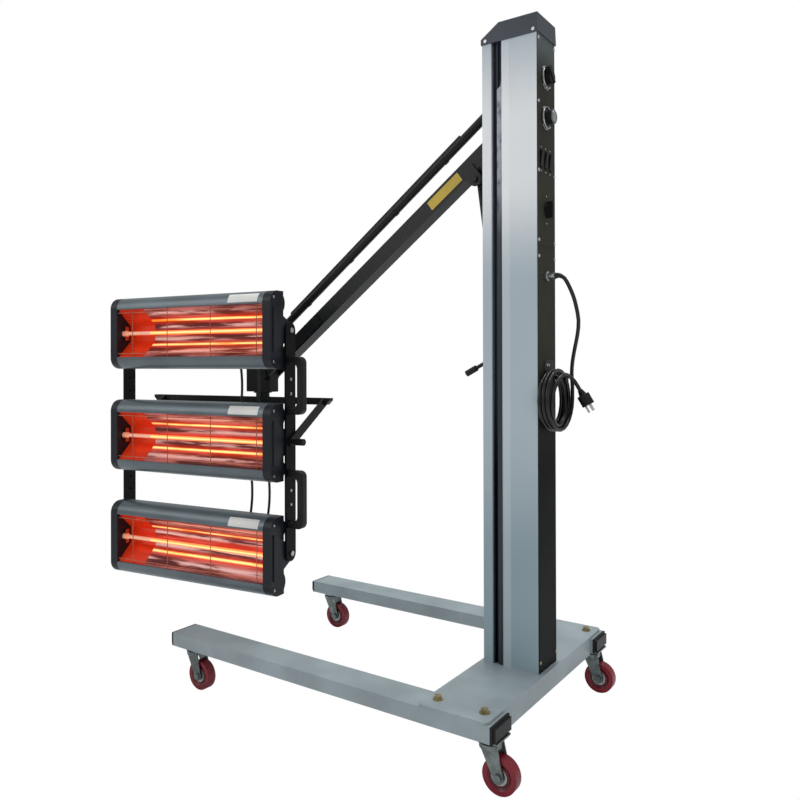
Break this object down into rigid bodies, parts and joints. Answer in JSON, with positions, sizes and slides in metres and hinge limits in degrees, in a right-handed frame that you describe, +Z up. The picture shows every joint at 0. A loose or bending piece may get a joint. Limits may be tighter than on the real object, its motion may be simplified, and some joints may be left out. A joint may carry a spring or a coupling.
{
  "type": "infrared curing lamp",
  "caption": "Mobile infrared curing lamp: stacked glowing cassettes on a tilting frame, carried by a parallelogram arm on a slotted column with a wheeled base.",
  "frame": {"origin": "on the floor, under the middle of the stand and head outline without the mains cord", "axes": "+Z up; the legs and the arm point to -X, the control panel faces +X, the lamps face -Y"},
  "size_m": [1.4189, 0.64, 1.637],
  "materials": {
    "column_paint": "satin blue-grey powder coat on an extrusion",
    "leg_paint": "light grey powder coat",
    "black_paint": "black satin paint",
    "panel_paint": "fine olive-black texture",
    "cap_paint": "charcoal satin paint",
    "black_plastic": "moulded, lightly grained",
    "white_plastic": "sliding pad",
    "red_tread": "polyurethane tread",
    "zinc": "zinc plated",
    "bright_steel": "plated",
    "slate_aluminium": "dark anodised extrusion",
    "slate_cap": "dark slate, lightly grained",
    "copper_reflector": "polished, red lit",
    "lamp_glass": "glowing quartz",
    "guard_wire": "bright wire",
    "cord_sheath": "smooth black sheath"
  },
  "bodies": {
    "base": {"caster_plates": "zinc", "legs": "leg_paint", "leg_plugs": "black_plastic", "base_plate": "leg_paint", "frame_fasteners": "bright_steel", "column": "column_paint", "groove_trims": "black_plastic", "top_cap": "cap_paint", "control_panel": "panel_paint", "lower_cover": "panel_paint", "cord_hook": "black_paint", "cable_gland": "bright_steel", "dial_rings": "bright_steel", "control_board": "black_plastic", "cord_lead": "cord_sheath", "cord_coil": "cord_sheath", "plug": "black_plastic"},
    "carriage": {"carriage": "zinc", "guide_pads": "white_plastic"},
    "carriage_lever": {"carriage_lever": "black_plastic"},
    "lower_arm": {"lower_arm": "black_paint"},
    "upper_rod": {"upper_rod": "black_paint"},
    "strut_cylinder": {"strut_cylinder": "black_paint"},
    "strut_rod": {"strut_rod": "bright_steel"},
    "knuckle": {"knuckle": "black_paint"},
    "yoke": {"yoke": "black_paint"},
    "head_frame": {"rails": "black_paint", "grab_handles": "black_plastic", "pivot_bolts": "bright_steel", "head_leads": "cord_sheath"},
    "tilt_knob": {"tilt_knob": "black_plastic"},
    "power_knob": {"power_knob": "black_plastic"},
    "timer_knob": {"timer_knob": "black_plastic"},
    "main_switch": {"main_switch": "black_plastic"},
    "rocker_1": {"rocker_1": "black_plastic"},
    "cassette_1": {"shell_1": "slate_aluminium", "end_caps_1": "slate_cap", "reflector_1": "copper_reflector", "lamp_1": "lamp_glass", "guard_1": "guard_wire"},
    "rocker_2": {"rocker_2": "black_plastic"},
    "cassette_2": {"shell_2": "slate_aluminium", "end_caps_2": "slate_cap", "reflector_2": "copper_reflector", "lamp_2": "lamp_glass", "guard_2": "guard_wire"},
    "rocker_3": {"rocker_3": "black_plastic"},
    "cassette_3": {"shell_3": "slate_aluminium", "end_caps_3": "slate_cap", "reflector_3": "copper_reflector", "lamp_3": "lamp_glass", "guard_3": "guard_wire"},
    "fork_1": {"fork_1": "zinc"},
    "wheel_1": {"wheel_1": "red_tread"},
    "fork_2": {"fork_2": "zinc"},
    "wheel_2": {"wheel_2": "red_tread"},
    "fork_3": {"fork_3": "zinc"},
    "wheel_3": {"wheel_3": "red_tread"},
    "fork_4": {"fork_4": "zinc"},
    "wheel_4": {"wheel_4": "red_tread"}
  },
  "joints": [
    {"name": "carriage_slide", "type": "slide", "parent": "base", "child": "carriage", "axis": [0, 0, 1], "range_m": [-0.02, 0.1]},
    {"name": "arm_hinge", "type": "hinge", "parent": "carriage", "child": "lower_arm", "pos_m": [0.50862, 0, 1.374], "axis": [0, 1, 0], "range_deg": [-4, 40]},
    {"name": "rod_hinge", "type": "hinge", "parent": "carriage", "child": "upper_rod", "pos_m": [0.50862, 0, 1.468], "axis": [0, 1, 0], "range_deg": [-4.5, 40.5]},
    {"name": "knuckle_hinge", "type": "hinge", "parent": "lower_arm", "child": "knuckle", "pos_m": [-0.24426, 0, 0.81486], "axis": [0, 1, 0], "range_deg": [-40.5, 4.5]},
    {"name": "strut_hinge", "type": "hinge", "parent": "lower_arm", "child": "strut_cylinder", "pos_m": [0.45762, 0, 1.29004], "axis": [0, 1, 0], "range_deg": [-46, 5]},
    {"name": "strut_slide", "type": "slide", "parent": "strut_cylinder", "child": "strut_rod", "axis": [0.1358, 0, -0.9907], "range_m": [-0.006, 0.058]},
    {"name": "carriage_lever_hinge", "type": "hinge", "parent": "carriage", "child": "carriage_lever", "pos_m": [0.50262, -0.01, 0.862], "axis": [0, 1, 0], "range_deg": [-25, 40]},
    {"name": "head_swivel", "type": "hinge", "parent": "knuckle", "child": "yoke", "pos_m": [-0.27026, 0, 0.76486], "axis": [0, 0, 1], "range_deg": [-97, 14]},
    {"name": "frame_tilt", "type": "hinge", "parent": "yoke", "child": "head_frame", "pos_m": [-0.33057, -0.16889, 0.64086], "axis": [0.9921, 0.1253, 0], "range_deg": [-10, 45]},
    {"name": "tilt_knob_turn", "type": "hinge", "parent": "yoke", "child": "tilt_knob", "pos_m": [-0.02302, -0.13004, 0.64086], "axis": [0.9921, 0.1253, 0], "range_deg": [-180, 180]},
    {"name": "cassette_1_tilt", "type": "hinge", "parent": "head_frame", "child": "cassette_1", "pos_m": [-0.33057, -0.16889, 0.93606], "axis": [0.9921, 0.1253, 0], "range_deg": [-30, 30]},
    {"name": "cassette_2_tilt", "type": "hinge", "parent": "head_frame", "child": "cassette_2", "pos_m": [-0.33057, -0.16889, 0.64086], "axis": [0.9921, 0.1253, 0], "range_deg": [-30, 30]},
    {"name": "cassette_3_tilt", "type": "hinge", "parent": "head_frame", "child": "cassette_3", "pos_m": [-0.33057, -0.16889, 0.34566], "axis": [0.9921, 0.1253, 0], "range_deg": [-30, 30]},
    {"name": "power_knob_turn", "type": "hinge", "parent": "base", "child": "power_knob", "pos_m": [0.63142, -0.002, 1.502], "axis": [1, 0, 0], "range_deg": [-130, 50]},
    {"name": "timer_knob_turn", "type": "hinge", "parent": "base", "child": "timer_knob", "pos_m": [0.63142, -0.002, 1.41], "axis": [1, 0, 0], "range_deg": [0, 300]},
    {"name": "main_switch_turn", "type": "hinge", "parent": "base", "child": "main_switch", "pos_m": [0.63142, 0, 1.199], "axis": [1, 0, 0], "range_deg": [0, 90]},
    {"name": "rocker_1_tip", "type": "hinge", "parent": "base", "child": "rocker_1", "pos_m": [0.62642, -0.0297, 1.311], "axis": [0, 1, 0], "range_deg": [-16, 0]},
    {"name": "rocker_2_tip", "type": "hinge", "parent": "base", "child": "rocker_2", "pos_m": [0.62642, -0.005, 1.311], "axis": [0, 1, 0], "range_deg": [-16, 0]},
    {"name": "rocker_3_tip", "type": "hinge", "parent": "base", "child": "rocker_3", "pos_m": [0.62642, 0.0197, 1.311], "axis": [0, 1, 0], "range_deg": [-16, 0]},
    {"name": "caster_1_swivel", "type": "hinge", "parent": "base", "child": "fork_1", "pos_m": [0.62962, 0.281, 0.092], "axis": [0, 0, 1], "continuous": true},
    {"name": "caster_2_swivel", "type": "hinge", "parent": "base", "child": "fork_2", "pos_m": [0.62962, -0.281, 0.092], "axis": [0, 0, 1], "continuous": true},
    {"name": "caster_3_swivel", "type": "hinge", "parent": "base", "child": "fork_3", "pos_m": [-0.23798, 0.281, 0.092], "axis": [0, 0, 1], "continuous": true},
    {"name": "caster_4_swivel", "type": "hinge", "parent": "base", "child": "fork_4", "pos_m": [-0.23798, -0.281, 0.092], "axis": [0, 0, 1], "continuous": true},
    {"name": "wheel_1_roll", "type": "hinge", "parent": "fork_1", "child": "wheel_1", "pos_m": [0.65362, 0.281, 0.0375], "axis": [0, 1, 0], "continuous": true},
    {"name": "wheel_2_roll", "type": "hinge", "parent": "fork_2", "child": "wheel_2", "pos_m": [0.65362, -0.281, 0.0375], "axis": [0, 1, 0], "continuous": true},
    {"name": "wheel_3_roll", "type": "hinge", "parent": "fork_3", "child": "wheel_3", "pos_m": [-0.21398, 0.281, 0.0375], "axis": [0, 1, 0], "continuous": true},
    {"name": "wheel_4_roll", "type": "hinge", "parent": "fork_4", "child": "wheel_4", "pos_m": [-0.21398, -0.281, 0.0375], "axis": [0, 1, 0], "continuous": true}
  ],
  "couplings": [
    {"joint": "rod_hinge", "follows": "arm_hinge", "ratio": 1},
    {"joint": "knuckle_hinge", "follows": "arm_hinge", "ratio": -1},
    {"joint": "strut_hinge", "follows": "arm_hinge", "ratio": -1.1355},
    {"joint": "strut_slide", "follows": "arm_hinge", "m_per_rad": 0.08126}
  ]
}
